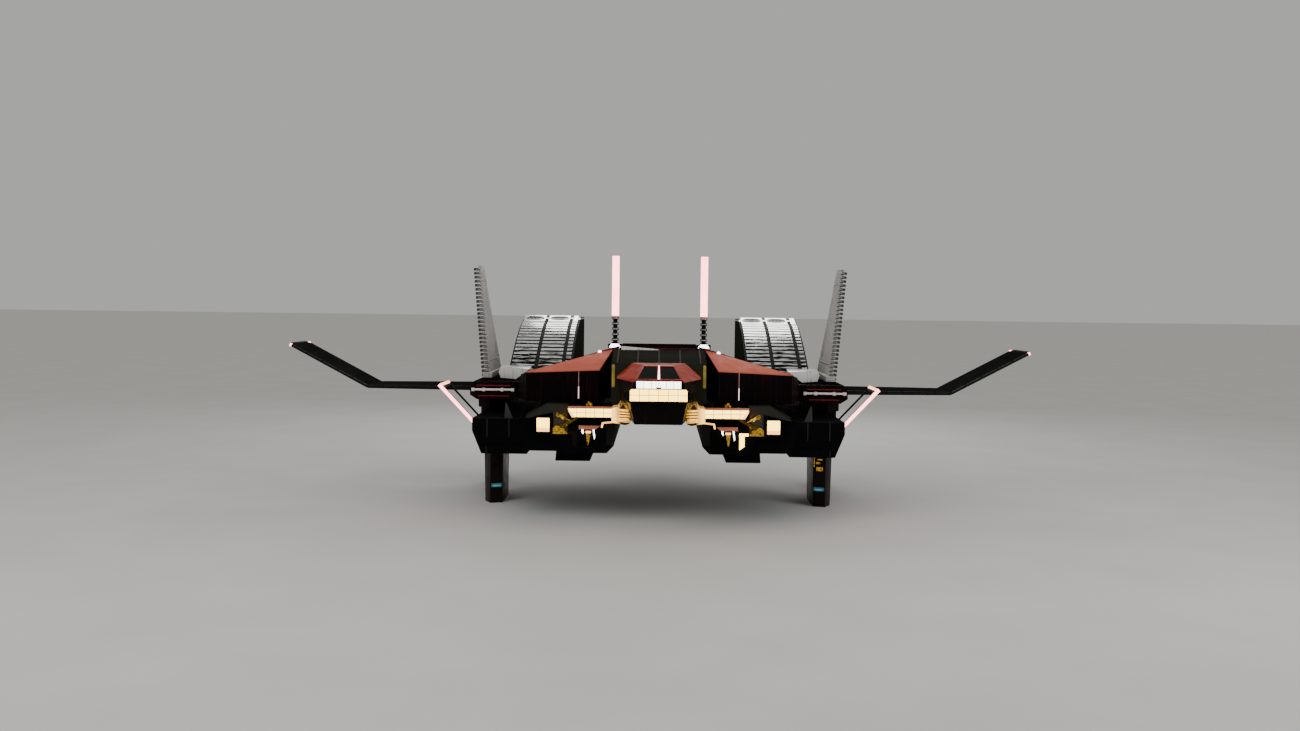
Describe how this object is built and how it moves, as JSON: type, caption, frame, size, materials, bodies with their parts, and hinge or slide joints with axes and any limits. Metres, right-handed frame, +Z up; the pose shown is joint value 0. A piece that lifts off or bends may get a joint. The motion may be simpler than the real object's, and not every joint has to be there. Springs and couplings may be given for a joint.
{
  "type": "hovering craft with wings and keel skids",
  "caption": "Low winged hovercraft with lamp-fronted sponsons, leaning fins, ribbed engine nacelles and keel skids.",
  "frame": {"origin": "on the ground below the middle of the craft, centre of the bounding box's bottom face", "axes": "+Z up, -Y towards the nose, +X to port"},
  "size_m": [19.32, 14, 6.3],
  "materials": {
    "maroon_enamel": "gloss",
    "black_enamel": "satin",
    "red_enamel": "satin",
    "dark_panel": "satin",
    "grey_metal": "satin",
    "bright_steel": "bright",
    "gold_plate": "bright",
    "bronze": "gloss",
    "seat_cloth": "woven",
    "dark_glass": "clear",
    "warm_light": "lit",
    "white_light": "lit",
    "pink_light": "lit"
  },
  "bodies": {
    "hull": {"trunk": "dark_panel", "cockpit_tub": "black_enamel", "seat": "seat_cloth", "console": "black_enamel", "nose_lamp_upper": "white_light", "nose_lamp_lower": "warm_light", "shoulder_port": "maroon_enamel", "shoulder_starboard": "maroon_enamel", "shoulder_panel_port": "red_enamel", "shoulder_panel_starboard": "red_enamel", "wing_pod_port": "maroon_enamel", "wing_pod_starboard": "maroon_enamel", "wing_port": "dark_panel", "wing_starboard": "dark_panel", "wing_light_port": "pink_light", "wing_light_starboard": "pink_light", "fin_port": "grey_metal", "fin_starboard": "grey_metal", "nacelle_port": "bright_steel", "nacelle_starboard": "bright_steel", "sponson_port": "black_enamel", "sponson_starboard": "black_enamel", "lamp_bar_port": "warm_light", "lamp_bar_starboard": "warm_light", "headlamp_port": "warm_light", "headlamp_starboard": "warm_light", "lamp_works_port": "gold_plate", "lamp_works_starboard": "gold_plate", "lamp_device_port": "gold_plate", "lamp_device_starboard": "gold_plate", "elbow_port": "gold_plate", "elbow_starboard": "gold_plate", "winglet_port": "dark_panel", "winglet_starboard": "dark_panel", "winglet_light_port": "pink_light", "winglet_light_starboard": "pink_light", "keel_port": "bronze", "keel_starboard": "bronze", "mast_port": "bright_steel", "mast_starboard": "bright_steel", "mast_rod_port": "pink_light", "mast_rod_starboard": "pink_light"},
    "canopy": {"canopy": "red_enamel", "windscreen_port": "dark_glass", "windscreen_starboard": "dark_glass"},
    "elevon_port": {"elevon_port": "dark_panel"},
    "rudder_port": {"rudder_port": "grey_metal"},
    "fan_port": {"fan_port": "bright_steel"},
    "lift_fan_port": {"lift_fan_port": "bright_steel"},
    "elevon_starboard": {"elevon_starboard": "dark_panel"},
    "rudder_starboard": {"rudder_starboard": "grey_metal"},
    "fan_starboard": {"fan_starboard": "bright_steel"},
    "lift_fan_starboard": {"lift_fan_starboard": "bright_steel"}
  },
  "joints": [
    {"name": "canopy_hinge", "type": "hinge", "parent": "hull", "child": "canopy", "pos_m": [0, -4.64, 3.8], "axis": [-1, 0, 0], "range_deg": [0, 60]},
    {"name": "elevon_port_hinge", "type": "hinge", "parent": "hull", "child": "elevon_port", "pos_m": [6.25, 0.93, 2.898], "axis": [1, 0, 0], "range_deg": [-20, 20]},
    {"name": "rudder_port_hinge", "type": "hinge", "parent": "hull", "child": "rudder_port", "pos_m": [4.60447, 0.65612, 4.68361], "axis": [0.1207, -0.191, 0.9741], "range_deg": [-25, 25]},
    {"name": "fan_port_spin", "type": "hinge", "parent": "hull", "child": "fan_port", "pos_m": [3.075, 4.64, 3.985], "axis": [0, 1, 0], "continuous": true},
    {"name": "lift_fan_port_spin", "type": "hinge", "parent": "hull", "child": "lift_fan_port", "pos_m": [3.61, -2.55, 1.73], "axis": [0, 0, 1], "continuous": true},
    {"name": "elevon_starboard_hinge", "type": "hinge", "parent": "hull", "child": "elevon_starboard", "pos_m": [-6.25, 0.93, 2.898], "axis": [1, 0, 0], "range_deg": [-20, 20]},
    {"name": "rudder_starboard_hinge", "type": "hinge", "parent": "hull", "child": "rudder_starboard", "pos_m": [-4.60447, 0.65612, 4.68361], "axis": [-0.1207, -0.191, 0.9741], "range_deg": [-25, 25]},
    {"name": "fan_starboard_spin", "type": "hinge", "parent": "hull", "child": "fan_starboard", "pos_m": [-3.075, 4.64, 3.985], "axis": [0, 1, 0], "continuous": true},
    {"name": "lift_fan_starboard_spin", "type": "hinge", "parent": "hull", "child": "lift_fan_starboard", "pos_m": [-3.61, -2.55, 1.73], "axis": [0, 0, 1], "continuous": true}
  ]
}
